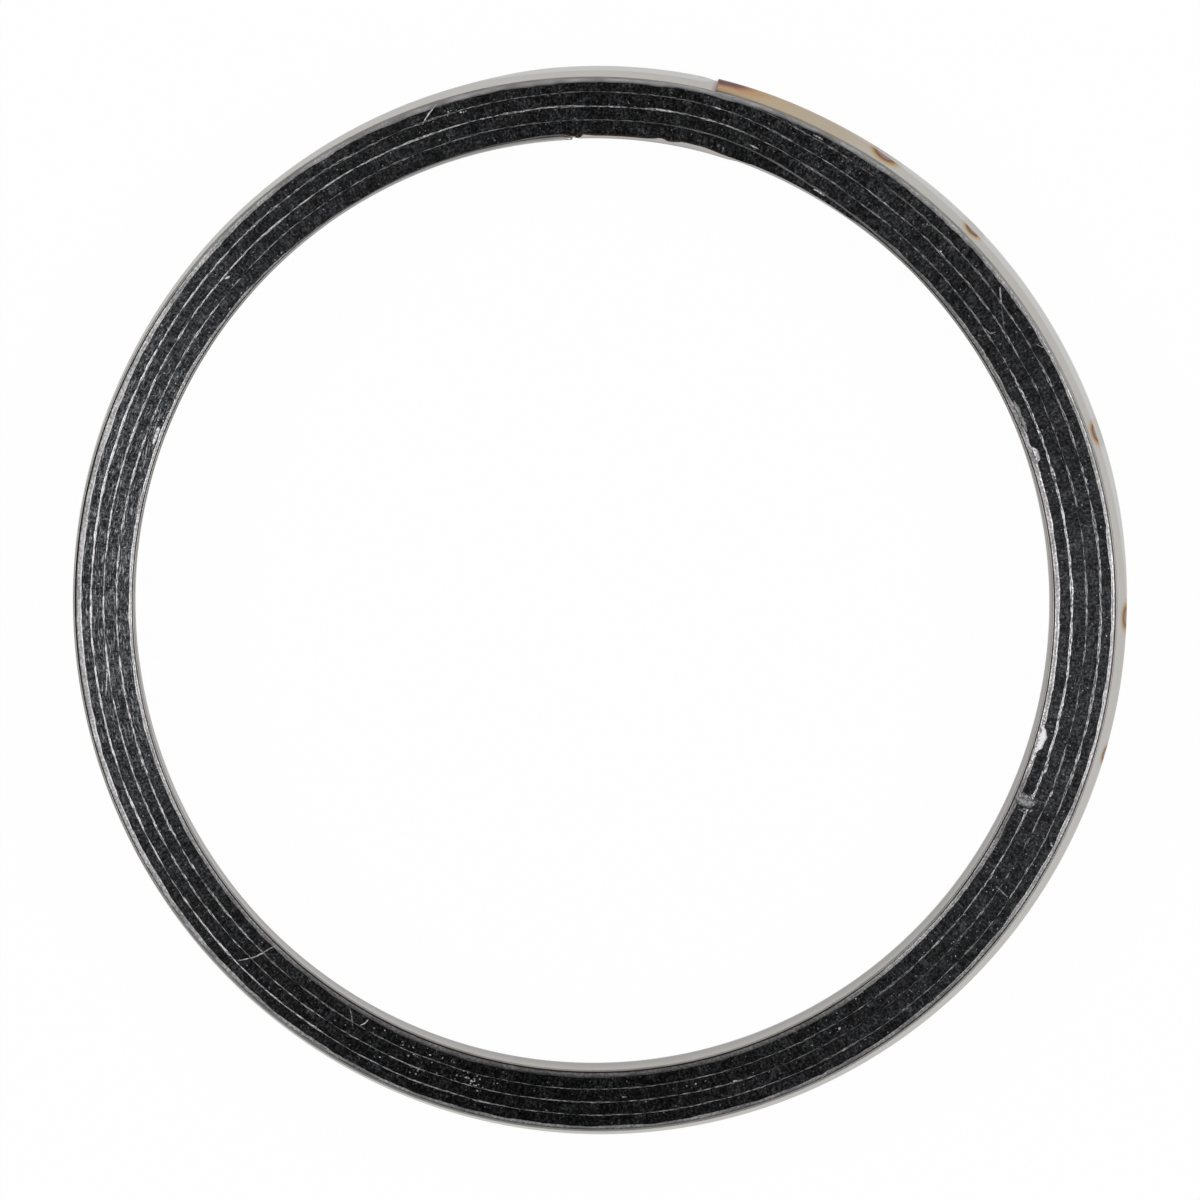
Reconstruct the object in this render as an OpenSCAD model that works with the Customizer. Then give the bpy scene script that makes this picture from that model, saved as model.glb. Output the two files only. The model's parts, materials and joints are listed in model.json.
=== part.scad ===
// Spiral-wound ring gasket for an exhaust joint.
// One thin steel strip, rolled to a shallow V, is wound round the bore with a graphite tape between its turns.
// The ring lies flat: its axis is Z, its lower face is at z = 0, and the winding grows anticlockwise.

/* [Ring] */
// Clear diameter through the ring
bore_d = 70; // [60:0.5:110]
// Height of the ring between its two faces
ring_h = 5.5; // [4:0.1:9]
// Turns of graphite tape
tape_turns = 4; // [2:1:7]

/* [Strip and tape] */
// Thickness of the steel strip
strip_t = 0.15; // [0.1:0.01:0.25]
// Thickness of the graphite tape
tape_t = 0.89; // [0.6:0.01:1.2]
// Gap left where the steel lies on itself, with no tape between
self_gap = 0.05; // [0.04:0.01:0.15]
// Gap between the tape and the steel on each side of it
tape_gap = 0.01; // [0.005:0.005:0.02]

/* [V section] */
// How far the V stands out at mid-height
vee_depth = 0.56; // [0.3:0.02:0.9]
// Straight edge of the strip beside each face
edge_land = 0.5; // [0.3:0.1:1]
// Straight part at the crest of the V
crest_land = 0.6; // [0.4:0.1:1]

/* [Ends of the winding] */
// Direction of the climb, where each turn rises to the next, seen from above
climb_at = 66.5; // [0:0.5:360]
// Angle from the climb to the strip's start, on the inner wall
strip_start = 26.5; // [18:0.5:60]
// Angle from the climb to the strip's end, on the outer wall
strip_end = 10.8; // [6:0.1:15]
// Angle from the climb to the tape's start
tape_start = -5; // [-8:0.5:0]
// Angle from the climb to the tape's end
tape_end = 8; // [0:0.5:10]

/* [Spot welds] */
// Diameter of a weld nugget
weld_d = 0.8; // [0.5:0.1:1]
// Angle from the strip's start to the inner weld
start_weld = 2; // [1.5:0.5:4]

/* [Hidden] */
$fn = 240;

// Angles back from the strip's end to the outer welds
outer_welds = [2.3, 19.8, 32.3, 58.3, 78.8, 93.9];

// Radial steps of the winding: a turn with tape under it, and a turn that lies on bare steel
pitch = strip_t + tape_t;
bare_pitch = strip_t + self_gap;

// The strip makes one bare turn inside the taped ones and one outside them
last_turn = tape_turns + 3;
bore_r = bore_d / 2;

// Direction in which the climb ends, as [cosine, sine]. It starts in the mirrored direction.
// A 7-24-25 triangle gives round numbers for the centres of the climb's bends, so that the bends meet exactly.
climb_end = [24, 7] / 25;
climb_begin = [24, -7] / 25;
half_climb = atan2(climb_end[1], climb_end[0]);

// The V, as [height, radial offset] from one face to the other
mid_h = ring_h / 2;
vee = [
    [0, 0],
    [edge_land, 0],
    [mid_h - crest_land / 2, vee_depth],
    [mid_h + crest_land / 2, vee_depth],
    [ring_h - edge_land, 0],
    [ring_h, 0]
];

// Cutting shapes reach this far beyond the ring
cut_reach = 2 * bore_d;
cut_over = 1;

// Inner radius of a turn of steel on its round stretch
function turn_r(turn) =
    turn == 1 ? bore_r
    : turn == last_turn ? turn_r(turn - 1) + bare_pitch
    : bore_r + bare_pitch + (turn - 2) * pitch;

// How far a turn rises at the climb: the taped turns by a full pitch, the others by a bare one
function turn_rise(turn) = turn > 1 && turn < last_turn - 1 ? pitch : bare_pitch;

// Inner radius of a layer of tape on its round stretch
function tape_r(layer) = turn_r(layer + 1) + strip_t + tape_gap;

// A climb is two tangent bends, the first flatter and the second tighter than the round stretch.
// Their centres depend on the rise alone, so layers with the same rise stay parallel.
function bend_shift(rise) = rise / (2 * (1 - climb_end[0]));
function first_centre(rise) = -bend_shift(rise) * climb_begin;
function second_centre(rise) = bend_shift(rise) * climb_end;

function toward(angle) = [cos(angle), sin(angle)];

// Distance from the axis to a circle about another centre, in one direction
function circle_at(centre, r, angle) =
    centre * toward(angle) + sqrt(r * r - pow(cross(centre, toward(angle)), 2));

// Direction in which the two bends of a climb meet
function meeting_angle(r, rise) =
    atan2(first_centre(rise)[1], first_centre(rise)[0] + r + bend_shift(rise));

// Radius of a turn in one direction, on its round stretch or on its climb
function climb_r(r, rise, angle) =
    abs(angle) > half_climb ? r
    : angle < meeting_angle(r, rise) ? circle_at(first_centre(rise), r + bend_shift(rise), angle)
    : circle_at(second_centre(rise), r + rise - bend_shift(rise), angle);

// Edge of the V at radius r, from the lower face to the upper one
function vee_edge(r) = [for (p = vee) [r + p[1], p[0]]];

function reversed(list) = [for (i = [len(list) - 1:-1:0]) list[i]];

// A full turn of a layer, from radius r outward
module layer(r, thickness) {
    rotate_extrude()
        polygon(concat(vee_edge(r), reversed(vee_edge(r + thickness))));
}

// Everything inside radius r
module core(r) {
    rotate_extrude()
        polygon(concat([[0, 0]], vee_edge(r), [[0, ring_h]]));
}

// A wedge with its edge upright at tip, between two directions
module wedge(tip, from, to) {
    translate([0, 0, -cut_over])
        linear_extrude(ring_h + 2 * cut_over)
            polygon([tip, tip + cut_reach * from, tip + cut_reach * to]);
}

// Keeps the round stretch, from the climb's end, or a later direction, round to its beginning
module round_stretch(from = climb_end) {
    difference() {
        children();
        wedge([0, 0], climb_begin, from);
    }
}

// The two bends of a climb. The children are the shape inside each bend, the flatter one first.
module bends(rise) {
    intersection() {
        wedge(first_centre(rise), climb_begin, [1, 0]);
        translate(first_centre(rise)) children(0);
    }
    intersection() {
        wedge(second_centre(rise), [1, 0], climb_end);
        translate(second_centre(rise)) children(1);
    }
}

module climbing_layer(r, rise, thickness) {
    bends(rise) {
        layer(r + bend_shift(rise), thickness);
        layer(r + rise - bend_shift(rise), thickness);
    }
}

module climbing_core(r, rise) {
    bends(rise) {
        core(r + bend_shift(rise));
        core(r + rise - bend_shift(rise));
    }
}

// A nugget that joins a turn to the next one out, at the crest of the V
module weld(angle, turn) {
    inner_r = climb_r(turn_r(turn), turn_rise(turn), angle) + vee_depth + strip_t / 2;
    translate([0, 0, mid_h])
        rotate([0, 90, angle])
            translate([0, 0, inner_r])
                cylinder(d = weld_d, h = bare_pitch, $fn = 48);
}

module steel_strip() {
    color([0.70, 0.69, 0.66]) rotate(climb_at) {
        round_stretch(toward(strip_start)) layer(turn_r(1), strip_t);
        for (turn = [2:last_turn])
            round_stretch() layer(turn_r(turn), strip_t);
        for (turn = [1:last_turn - 1])
            climbing_layer(turn_r(turn), turn_rise(turn), strip_t);
        // The last turn rides up on the one below it and is cut off part of the way
        difference() {
            climbing_layer(turn_r(last_turn), bare_pitch, strip_t);
            wedge([0, 0], toward(strip_end), toward(strip_start));
        }
        weld(strip_start + start_weld, 1);
        for (back = outer_welds)
            weld(strip_end - back, last_turn - 1);
    }
}

module graphite_tape() {
    tape_w = tape_t - 2 * tape_gap;
    color([0.16, 0.16, 0.17]) rotate(climb_at) {
        for (turn = [1:tape_turns])
            round_stretch() layer(tape_r(turn), tape_w);
        for (turn = [1:tape_turns - 1])
            climbing_layer(tape_r(turn), pitch, tape_w);
        // The tape's start is pressed into the wedge that opens over the first turn of steel
        difference() {
            climbing_layer(tape_r(1) - 2 * pitch, pitch, tape_w + pitch);
            climbing_core(bore_r + strip_t + tape_gap, bare_pitch);
            wedge([0, 0], toward(-2 * half_climb), toward(tape_start));
        }
        // The tape's end is pressed into the wedge that closes under the last turn but one
        intersection() {
            climbing_layer(tape_r(tape_turns), pitch, tape_w + pitch);
            climbing_core(turn_r(last_turn - 1) - tape_gap, bare_pitch);
            wedge([0, 0], toward(-2 * half_climb), toward(tape_end));
        }
    }
}

steel_strip();
graphite_tape();
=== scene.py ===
import json
import math

import bmesh
import bpy
import numpy as np
from mathutils import Matrix, Vector


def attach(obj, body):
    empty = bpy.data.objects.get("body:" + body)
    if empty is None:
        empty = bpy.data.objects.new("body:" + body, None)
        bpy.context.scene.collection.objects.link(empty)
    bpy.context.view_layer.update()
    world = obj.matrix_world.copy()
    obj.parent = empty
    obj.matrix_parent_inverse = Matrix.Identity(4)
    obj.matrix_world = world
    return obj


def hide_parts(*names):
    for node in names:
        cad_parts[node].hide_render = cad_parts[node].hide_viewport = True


# A spiral-wound ring gasket: a steel strip and a graphite tape, with the wear that the photo shows on them
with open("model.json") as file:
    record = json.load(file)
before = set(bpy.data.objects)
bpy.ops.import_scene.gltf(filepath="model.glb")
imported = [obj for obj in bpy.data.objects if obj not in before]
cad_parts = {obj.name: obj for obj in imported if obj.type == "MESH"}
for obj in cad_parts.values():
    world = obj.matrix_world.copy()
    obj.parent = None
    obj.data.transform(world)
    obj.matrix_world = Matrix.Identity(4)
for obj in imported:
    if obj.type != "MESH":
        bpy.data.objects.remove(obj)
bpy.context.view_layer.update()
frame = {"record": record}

MM = 0.001
# Millimetres to one pixel of the photo, on the ring's face
PX = 1 / 13.245

# The ring's bore radius and height in millimetres, from the frame
BORE = next(mount["dims"] for mount in frame["record"]["mounts"] if mount["name"] == "bore")
BORE_R = BORE["r_mm"]
RING_H = BORE["length_mm"]

# Sizes of the winding in millimetres and degrees, as in the part's source
TAPE_TURNS = 4
STRIP_T = 0.15
TAPE_T = 0.89
SELF_GAP = 0.05
TAPE_GAP = 0.01
VEE_DEPTH = 0.56
EDGE_LAND = 0.5
CREST_LAND = 0.6
CLIMB_AT = 66.5
STRIP_START = 26.5
STRIP_END = 10.8
OUTER_WELDS = (2.3, 19.8, 32.3, 58.3, 78.8, 93.9)
# Ends of the tape as the face shows them, where it thins out in its wedges
TAPE_START = -13.0
TAPE_END = 10.5

PITCH = STRIP_T + TAPE_T
BARE_PITCH = STRIP_T + SELF_GAP
LAST_TURN = TAPE_TURNS + 3
COS_CLIMB = 24 / 25
SIN_CLIMB = 7 / 25
HALF_CLIMB = math.degrees(math.atan2(SIN_CLIMB, COS_CLIMB))
MID_H = RING_H / 2

# Angles along the winding, counted from the climb before the first turn
STRIP_FROM = STRIP_START
STRIP_TO = 360 * LAST_TURN + STRIP_END
TAPE_FROM = 360 + TAPE_START
TAPE_TO = 360 * (TAPE_TURNS + 1) + TAPE_END

# Length of a noise table, and how far apart a plane's rows of noise start in it
NOISE_CELLS = 4096
ROW_SHIFT = 37.7
ROW_CYCLE = 97


def smooth(x):
    x = np.clip(x, 0, 1)
    return x * x * (3 - 2 * x)


# Seeded noise along a line, from 0 to 1
def noise(x, seed):
    table = np.random.default_rng(seed).random(NOISE_CELLS)
    cell = np.floor(x).astype(int)
    share = smooth(x - cell)
    return table[cell % NOISE_CELLS] * (1 - share) + table[(cell + 1) % NOISE_CELLS] * share


# Seeded noise over a plane, from 0 to 1
def noise2(x, y, seed):
    row = np.floor(y).astype(int)
    share = smooth(y - row)
    low = noise(x + ROW_SHIFT * (row % ROW_CYCLE), seed)
    high = noise(x + ROW_SHIFT * ((row + 1) % ROW_CYCLE), seed)
    return low * (1 - share) + high * share


# Seeded wander about zero along the winding. Each wave has its cells per degree, its seed and its height.
def wander(wound, waves):
    return sum((noise(wound * cells, seed) - 0.5) * height for cells, seed, height in waves)


# A smooth hump round one direction of the ring
def hump(angle, centre, half):
    away = np.abs((angle - centre + 180) % 360 - 180)
    return smooth(1 - away / half)


# A stretch that fades in and out
def stretch(x, begin, fade_in, end, fade_out):
    return smooth((x - begin) / fade_in) * smooth((end - x) / fade_out)


# The ring's right, top, left and bottom sides as the photo lights them.
# Each has its direction and how narrow it is.
SIDES = ((355, 7), (80, 5), (176, 4), (262, 5))
AT_TOP = (0, 0, 1, 0, 0)
AT_LEFT = (0, 0, 0, 1, 0)
AT_BOTTOM = (0, 0, 0, 0, 1)


# A value that changes round the ring: between the sides, then at the right, top, left and bottom
def by_side(angle, rest, *sides):
    total = rest + 0 * angle
    for (at, narrow), value in zip(SIDES, sides):
        total = total + (value - rest) * np.clip(np.cos(np.radians(angle - at)), 0, 1) ** narrow
    return total


# The same with humps. Each hump has its direction, its half width and what it adds.
def with_humps(angle, sides, humps):
    total = by_side(angle, *sides)
    for at, half, more in humps:
        total = total + more * hump(angle, at, half)
    return total


# The winding, with the same formulas as the part's source
def turn_radius(turn):
    if turn == 1:
        return BORE_R
    if turn == LAST_TURN:
        return turn_radius(turn - 1) + BARE_PITCH
    return BORE_R + BARE_PITCH + (turn - 2) * PITCH


def turn_rise(turn):
    if 1 < turn < LAST_TURN - 1:
        return PITCH
    return BARE_PITCH


def circle_at(centre, r, angle):
    ux = np.cos(np.radians(angle))
    uy = np.sin(np.radians(angle))
    along = centre[0] * ux + centre[1] * uy
    across = centre[0] * uy - centre[1] * ux
    return along + np.sqrt(r * r - across * across)


def climb_radius(r, rise, angle):
    shift = rise / (2 * (1 - COS_CLIMB))
    first = (-shift * COS_CLIMB, shift * SIN_CLIMB)
    second = (shift * COS_CLIMB, shift * SIN_CLIMB)
    meeting = math.degrees(math.atan2(first[1], first[0] + r + shift))
    bends = np.where(
        angle < meeting,
        circle_at(first, r + shift, angle),
        circle_at(second, r + rise - shift, angle),
    )
    return np.where(angle < -HALF_CLIMB, r, bends)


# Number of the turn at an angle along the winding, and the angle from that turn's climb
def turn_at(wound):
    turn = np.floor((wound - HALF_CLIMB) / 360).astype(int) + 1
    return turn, wound - 360 * turn


# Inner radius of the strip at an angle along the winding
def strip_radius(wound):
    turn, angle = turn_at(wound)
    found = np.zeros_like(angle)
    for t in range(1, LAST_TURN + 1):
        found = np.where(turn == t, climb_radius(turn_radius(t), turn_rise(t), angle), found)
    return found


# Half the degrees over which the strip passes on where a bare turn begins or ends
HALF_PASS = 1
# Degrees after which the strip becomes the outer band, and over which it does
BAND_PASS_FROM = 4
BAND_PASS_SPAN = 9


# Which turn the strip counts as on the face.
# It passes to the next turn at the climb, or where a bare turn begins or ends.
def lane(wound):
    passed = 1 + smooth((wound - 360 - STRIP_START + HALF_PASS) / (2 * HALF_PASS))
    for turn in range(2, LAST_TURN - 2):
        passed = passed + smooth((wound - 360 * turn + HALF_CLIMB) / (2 * HALF_CLIMB))
    passed = passed + smooth((wound - 360 * (LAST_TURN - 2) - BAND_PASS_FROM) / BAND_PASS_SPAN)
    return passed + smooth((wound - 360 * (LAST_TURN - 1) - STRIP_END + HALF_PASS) / (2 * HALF_PASS))


# A value of each turn, blended where the strip passes from one to the next
def blended(wound, value):
    at = lane(wound)
    found = 0 * wound
    for turn in range(1, LAST_TURN + 1):
        found = found + value(turn, wound + CLIMB_AT) * np.clip(1 - np.abs(at - turn), 0, 1)
    return found


# 1 on the given turns and 0 on the others
def on_turns(wound, turns):
    return blended(wound, lambda t, w: 1.0 * (t in turns))


# The first and last turns are bare walls. The turns beside them show as bands, and the others as lines.
WALLS = (1, LAST_TURN)
INNER_BAND_TURN = 2
OUTER_BAND_TURN = LAST_TURN - 1
LINES = range(INNER_BAND_TURN + 1, OUTER_BAND_TURN)
RUBBED = range(INNER_BAND_TURN, OUTER_BAND_TURN + 1)

# Widths on the face in the photo's pixels, in the order of by_side, and humps on them
LINE_WIDTHS = {
    3: (1.7, 2.8, 1.6, 1.8, 1.2),
    4: (1.7, 1.8, 1.8, 1.8, 1.3),
    5: (1.7, 2.4, 1.6, 2.5, 1.3),
}
INNER_BAND = (4.4, 5.0, 1.8, 3.6, 5.6)
INNER_BAND_HUMPS = ((120, 36, -3.4),)
OUTER_BAND = (4.0, 3.2, 4.6, 6.0, 3.4)
INNER_GAP = (1.0, 1.2, 0.6, 1.0, 1.4)
INNER_GAP_HUMPS = ((312, 13, -1.0),)
OUTER_GAP = (-0.4, 1.6, -1.0, 1.5, 0.3)
OUTER_GAP_HUMPS = ((312, 34, 1.2), (130, 20, -0.8))
# How far the inner and the outer gap lean inward at the face
INNER_LEAN = (1.7, 1.4, -0.2, 1.7, 2.8)
OUTER_LEAN = (0.3, 1.5, 2.6, -1.2, 0.3)
# How much further the strip's end leans, with the turn under it, and over which degrees that sets in
END_LEAN = 1.4
END_LEAN_BACK = 21
END_LEAN_SPAN = 10
# The turn under the strip's end stands out just past it, in millimetres
PAST_END = 0.12
PAST_END_AT = 79.5
PAST_END_HALF = 5
# Width of the edge to which the bare turns taper
WALL_LAND = 0.05

# A lip bent inward along the last of the first turn, before it passes behind the strip's start,
# and a lesser one at the start itself
LIP = 0.36
LIP_FROM = 360 + 69
LIP_SPAN = 5
START_LIP_SHARE = 0.4
START_LIP_TO = 96
START_LIP_SPAN = 3


def lip_at(world):
    at_start = START_LIP_SHARE * smooth((START_LIP_TO - world) / START_LIP_SPAN)
    return smooth((world - LIP_FROM) / LIP_SPAN) + at_start


# Brightness of the rubbed edges by turn, in the order of by_side. It is a painted highlight, mostly brighter
# at the right and left.
SHINES = {
    2: (0.30, 1.00, 0.25, 1.00, 0.34),
    3: (0.19, 0.84, 0.20, 0.90, 0.22),
    4: (0.18, 0.30, 0.50, 1.10, 0.30),
    5: (0.19, 0.42, 0.20, 1.90, 0.32),
    6: (0.45, 1.00, 0.90, 1.60, 0.48),
}
# Stretches that are brighter or duller: turn, direction, half width, share added
GLINTS = (
    (2, 312, 14, 1.1),
    (2, 333, 10, -0.5),
    (4, 122, 32, 1.8),
    (4, 240, 30, 0.6),
    (4, 306, 22, -0.75),
    (5, 229, 38, 1.3),
)
# How much of its brightness a band loses where it fades
FADE = 0.85


def turn_shine(turn, world):
    if turn in WALLS:
        return 1
    shine = by_side(world, *SHINES[turn])
    for at_turn, at, half, more in GLINTS:
        if turn == at_turn:
            shine = shine * (1 + more * hump(world, at, half))
    return shine


# Brightness across an edge, where share runs from -0.5 at its inner side to 0.5 at its outer one.
# The outer band at the top and the inner one at the bottom fade into the graphite.
# At the left the outer band is dull beside the wall.
def shine_at(wound, share):
    world = wound + CLIMB_AT
    outer = on_turns(wound, (OUTER_BAND_TURN,))
    inner = on_turns(wound, (INNER_BAND_TURN,))
    fade = outer * by_side(world, *AT_TOP) * (0.5 - share)
    fade = fade + inner * by_side(world, *AT_BOTTOM) * (0.5 + share)
    fade = fade + outer * by_side(world, *AT_LEFT) * smooth((share + 0.2) / 0.5)
    return blended(wound, turn_shine) * (1 - FADE * fade)


# The rim beyond the outer wall, pale from a painted highlight on its crest: how far it stands out, and the
# stretches where it shows
RIM_OUT = 0.12
RIM_STRETCHES = ((-5, 22, 68, 22), (77, 2, 106, 11))


def rim_at(wound):
    world = (wound + CLIMB_AT + 180) % 360 - 180
    shown = sum(stretch(world, *row) for row in RIM_STRETCHES)
    return np.where(wound > STRIP_TO - 360, shown, 0)


# How far the outer turns lean inward at the face
def outer_lean(turn, world):
    last = world + 360 * (LAST_TURN - turn)
    end = END_LEAN * smooth((last - STRIP_TO - CLIMB_AT + END_LEAN_BACK) / END_LEAN_SPAN)
    return (by_side(world, *OUTER_LEAN) + end) * PX


# Visible edge of a turn on the face, as offsets from its inner radius
def plain_edge(turn, world):
    inner_gap = with_humps(world, INNER_GAP, INNER_GAP_HUMPS) * PX - SELF_GAP
    inner_lean = by_side(world, *INNER_LEAN) * PX
    outer_gap = with_humps(world, OUTER_GAP, OUTER_GAP_HUMPS) * PX - SELF_GAP
    if turn == 1:
        high = STRIP_T - inner_gap / 2 - inner_lean
        return high - WALL_LAND - LIP * lip_at(world), high
    if turn == INNER_BAND_TURN:
        low = inner_gap / 2 - inner_lean
        return low, low + with_humps(world, INNER_BAND, INNER_BAND_HUMPS) * PX
    if turn == OUTER_BAND_TURN:
        past_end = PAST_END * hump(world, PAST_END_AT, PAST_END_HALF)
        high = STRIP_T - outer_gap / 2 - outer_lean(turn, world) + past_end
        return high - by_side(world, *OUTER_BAND) * PX, high
    if turn == LAST_TURN:
        low = outer_gap / 2 - outer_lean(turn, world)
        return low, low + WALL_LAND
    width = by_side(world, *LINE_WIDTHS[turn]) * PX
    return STRIP_T / 2 - width / 2, STRIP_T / 2 + width / 2


# Waves in the width and in the place of a rubbed edge
BEAD_WAVES = ((1.3, 11, 0.9), (0.31, 12, 0.6))
DRIFT_WAVES = ((0.23, 13, 0.06), (0.9, 14, 0.035))
BEAD_SHARE = 0.7
WIDEST_BEAD = 0.14


# Visible edge of the strip with its beads. The side of a band that faces a wall stays even.
def face_edge(wound):
    low = blended(wound, lambda t, w: plain_edge(t, w)[0])
    high = blended(wound, lambda t, w: plain_edge(t, w)[1])
    free_low = on_turns(wound, RUBBED[1:])
    free_high = on_turns(wound, RUBBED[:-1])
    drift = wander(wound, DRIFT_WAVES)
    grow = np.minimum(high - low, WIDEST_BEAD) * wander(wound, BEAD_WAVES) * BEAD_SHARE
    return low + free_low * (drift - grow), high + free_high * (drift + grow)


# The ring's slight oval and lean, as photographed.
# A row of LEAN is a height and the shift there along x and y.
OVAL_COS = -0.0067
OVAL_SIN = -0.0013
LEAN = ((0.0, -0.13, 0.0), (MID_H, 0.24, 0.045), (RING_H, 0.0, 0.0))
# How far the inner turns sit off centre and out of round
STRAY = 0.06
STRAY_X = -0.26
STRAY_Y = -0.14
STRAY_OVAL = -0.06
STRAY_FROM = 39.2
# The lower edge spreads outward
FLARE = 0.045
FLARE_Y = 0.065
FLARE_OVAL = 0.11
# The face is pressed in on one side
DENT = -0.15
DENT_AT = 38
DENT_HALF = 34
# The inner taped turns climb early
EARLY = 0.26
EARLY_AT = 72
EARLY_HALF = 14
EARLY_FROM_R = 35.3
EARLY_SPAN_R = 0.5
# Both set in over these heights below the face
PRESSED_FROM = 4
PRESSED_SPAN = 1.2


# Where a point of the round winding lies on the ring as photographed, in metres
def place(r, world, z):
    a = np.radians(world)
    scale = 1 + OVAL_COS * np.cos(2 * a) + OVAL_SIN * np.sin(2 * a)
    heights, shifts_x, shifts_y = zip(*LEAN)
    lean_x = np.interp(z, heights, shifts_x)
    lean_y = np.interp(z, heights, shifts_y)
    inner = np.clip((STRAY_FROM - r) / (STRAY_FROM - BORE_R), 0, 1)
    stray = STRAY + STRAY_X * np.cos(a) + STRAY_Y * np.sin(a) + STRAY_OVAL * np.cos(2 * a)
    flare = FLARE + FLARE_Y * np.sin(a) + FLARE_OVAL * np.cos(2 * a)
    pressed = smooth((z - PRESSED_FROM) / PRESSED_SPAN)
    dent = DENT * hump(world, DENT_AT, DENT_HALF) * pressed
    early = EARLY * hump(world, EARLY_AT, EARLY_HALF) * inner * smooth((r - EARLY_FROM_R) / EARLY_SPAN_R)
    dent = dent + early * pressed
    out = r * scale + inner * stray + flare * np.clip(1 - z / MID_H, 0, 1) + dent
    return np.stack((out * np.cos(a) + lean_x, out * np.sin(a) + lean_y, z + 0 * a), axis=-1) * MM


# How far the V stands out at a height
def vee(z):
    low = MID_H - CREST_LAND / 2
    high = MID_H + CREST_LAND / 2
    return np.interp(z, [EDGE_LAND, low, high, RING_H - EDGE_LAND], [0, VEE_DEPTH, VEE_DEPTH, 0])


# A closed mesh from runs of swept sections, with values kept at each point
def swept(name, runs):
    corners = []
    faces = []
    kept = {}
    for points, values in runs:
        count, around = points.shape[:2]
        first = len(corners)
        step = first + np.arange(count - 1)[:, None] * around
        j = np.arange(around)[None, :]
        after = (j + 1) % around
        quads = np.stack((step + j, step + after, step + around + after, step + around + j), axis=-1)
        faces.extend(tuple(q) for q in quads.reshape(-1, 4).tolist())
        faces.append(tuple(range(first + around - 1, first - 1, -1)))
        faces.append(tuple(range(first + (count - 1) * around, first + count * around)))
        corners.extend(points.reshape(-1, 3).tolist())
        for key, value in values.items():
            kept.setdefault(key, []).append(np.broadcast_to(value, (count, around)).reshape(-1))
    mesh = bpy.data.meshes.new(name)
    mesh.from_pydata(corners, [], faces)
    for key, rows in kept.items():
        attribute = mesh.attributes.new(key, "FLOAT", "POINT")
        attribute.data.foreach_set("value", np.concatenate(rows).astype(np.float32))
    tidy_normals(mesh)
    piece = bpy.data.objects.new(name, mesh)
    bpy.context.scene.collection.objects.link(piece)
    return piece


def tidy_normals(mesh):
    bm = bmesh.new()
    bm.from_mesh(mesh)
    bmesh.ops.recalc_face_normals(bm, faces=bm.faces)
    bm.to_mesh(mesh)
    bm.free()
    mesh.polygons.foreach_set("use_smooth", [True] * len(mesh.polygons))
    mesh.update()


# Steel strip: how many sections it has, heights of the points on its sides,
# and its rounded upper edge as shares of the edge's width and drops below its top
STRIP_SECTIONS = 3900
SIDE_HEIGHTS = (0.04, EDGE_LAND, 2.3, MID_H, 3.2, 3.6, RING_H - EDGE_LAND, RING_H - 0.2, RING_H - 0.1)
EDGE_PROFILE = ((0.5, 0.05), (0.36, 0.008), (0.0, 0.0), (-0.36, 0.008), (-0.5, 0.05))
FOOT_BEVEL = 0.03
# Walls and narrow edges end below the face, and wide edges stand over the graphite
WALL_DROP = 0.02
LINE_DROP = 0.045
BAND_RISE = 0.055
BAND_FROM = 0.08
BAND_SPAN = 0.12
TOP_WAVES = ((0.8, 21, 0.02),)
# The first corner of the strip is curled inward and down
CURL_SPAN = 1.5
CURL_IN = 0.10
CURL_DOWN = 0.15
# The strip's end is square to the view
END_SPAN = 1.5
END_TURN = 0.12
END_SLANT = 0.33
# Oxide fills this much of the gap beside a bare turn, except where it gapes at the left
OXIDE_FILL = SELF_GAP - 0.005
OXIDE_SIDES = (1, 1, 1, 0, 1)
# Degrees at the strip's start over which its outer side is clean
START_CLEAN = 3
# The turns lean inward from a height up, and the rim stands out over a stretch of heights
LEAN_FROM = 4.6
LEAN_SPAN = 0.8
RIM_HEIGHTS = (0.5, 1.5, 3.9, 1.0)
# Way round the section: up the outer side, over the edge, and down the inner side to its foot
EDGE_WAY = 0.2
INNER_FOOT = 2 * RING_H + 0.5
# Directions where the first turn gets a painted reflection, pale and matt, and where the bands shine evenly
PAINTED_REFLECTION_AT = 122
PAINTED_REFLECTION_HALF = 36
EVEN_AT = 88
EVEN_HALF = 62


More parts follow.
